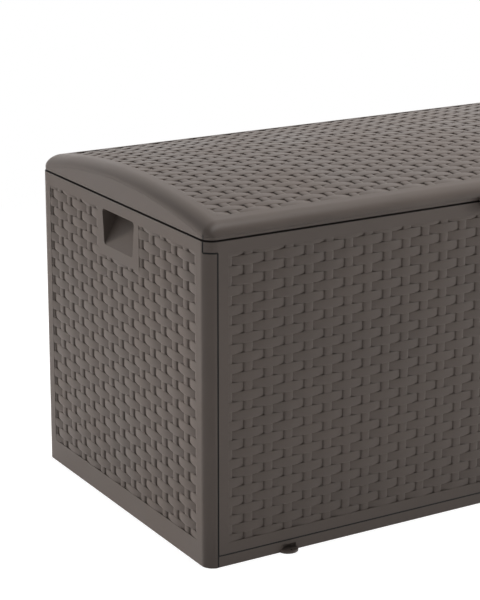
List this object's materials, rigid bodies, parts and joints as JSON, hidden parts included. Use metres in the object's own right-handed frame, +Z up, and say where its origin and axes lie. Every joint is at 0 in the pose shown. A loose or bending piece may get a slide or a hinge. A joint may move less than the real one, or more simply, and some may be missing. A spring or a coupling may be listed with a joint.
{
  "type": "deck storage box",
  "caption": "Large outdoor deck storage box with woven-look resin panels and an arched lid that opens on rear hinges with gas struts.",
  "frame": {"origin": "on the ground, in the middle of the box's footprint", "axes": "+X along the front to the right as seen from the front, +Y from front to back, +Z up"},
  "size_m": [1.56, 0.778, 0.746],
  "materials": {
    "resin_panel": "fine-grained matte moulded resin",
    "resin_lid": "fine-grained matte moulded resin",
    "resin_trim": "satin moulded resin",
    "galvanised_tube": "galvanised steel tube",
    "zinc_hinge": "zinc-plated pressed steel",
    "zinc_screw": "zinc-plated",
    "strut_black": "satin black enamel",
    "strut_steel": "ground bright steel",
    "rubber": "black rubber"
  },
  "bodies": {
    "box": {"base_panel": "resin_panel", "front_panel": "resin_panel", "back_panel": "resin_panel", "left_end_panel": "resin_panel", "right_end_panel": "resin_panel", "floor_tube_front": "galvanised_tube", "floor_tube_back": "galvanised_tube", "front_lock_eye": "resin_trim", "bumper_left": "rubber", "bumper_right": "rubber", "corner_screws": "zinc_screw", "base_screws": "zinc_screw", "box_fitting_screws": "zinc_screw", "left_strut_foot": "zinc_hinge", "right_strut_foot": "zinc_hinge", "hinge_base_left": "zinc_hinge", "hinge_base_middle": "zinc_hinge", "hinge_base_right": "zinc_hinge", "hinge_pin_left": "strut_steel", "hinge_pin_middle": "strut_steel", "hinge_pin_right": "strut_steel"},
    "lid": {"lid_shell": "resin_lid", "lid_frame": "resin_lid", "lid_tube_front": "galvanised_tube", "lid_tube_back": "galvanised_tube", "lid_lock_eye": "resin_trim", "left_grip": "resin_lid", "right_grip": "resin_lid", "hinge_leaf_left": "zinc_hinge", "hinge_leaf_middle": "zinc_hinge", "hinge_leaf_right": "zinc_hinge", "left_strut_head": "zinc_hinge", "right_strut_head": "zinc_hinge", "lid_screws": "zinc_screw", "lid_fitting_screws": "zinc_screw"},
    "left_strut_tube": {"left_strut_tube": "strut_black"},
    "right_strut_tube": {"right_strut_tube": "strut_black"},
    "left_strut_rod": {"left_strut_rod": "strut_steel"},
    "right_strut_rod": {"right_strut_rod": "strut_steel"}
  },
  "joints": [
    {"name": "lid_hinge", "type": "hinge", "parent": "box", "child": "lid", "pos_m": [0, 0.3815, 0.681], "axis": [-1, 0, 0], "range_deg": [0, 80]},
    {"name": "left_strut_foot_pivot", "type": "hinge", "parent": "box", "child": "left_strut_tube", "pos_m": [-0.724, 0.30703, 0.42131], "axis": [-1, 0, 0], "range_deg": [0, 40]},
    {"name": "right_strut_foot_pivot", "type": "hinge", "parent": "box", "child": "right_strut_tube", "pos_m": [0.724, 0.30703, 0.42131], "axis": [-1, 0, 0], "range_deg": [0, 40]},
    {"name": "left_strut_head_pivot", "type": "hinge", "parent": "lid", "child": "left_strut_rod", "pos_m": [-0.724, 0.112, 0.66216], "axis": [-1, 0, 0], "range_deg": [-40, 0]},
    {"name": "right_strut_head_pivot", "type": "hinge", "parent": "lid", "child": "right_strut_rod", "pos_m": [0.724, 0.112, 0.66216], "axis": [-1, 0, 0], "range_deg": [-40, 0]}
  ],
  "couplings": [
    {"joint": "left_strut_foot_pivot", "follows": "lid_hinge", "ratio": 0.5},
    {"joint": "right_strut_foot_pivot", "follows": "lid_hinge", "ratio": 0.5},
    {"joint": "left_strut_head_pivot", "follows": "lid_hinge", "ratio": -0.5},
    {"joint": "right_strut_head_pivot", "follows": "lid_hinge", "ratio": -0.5}
  ]
}
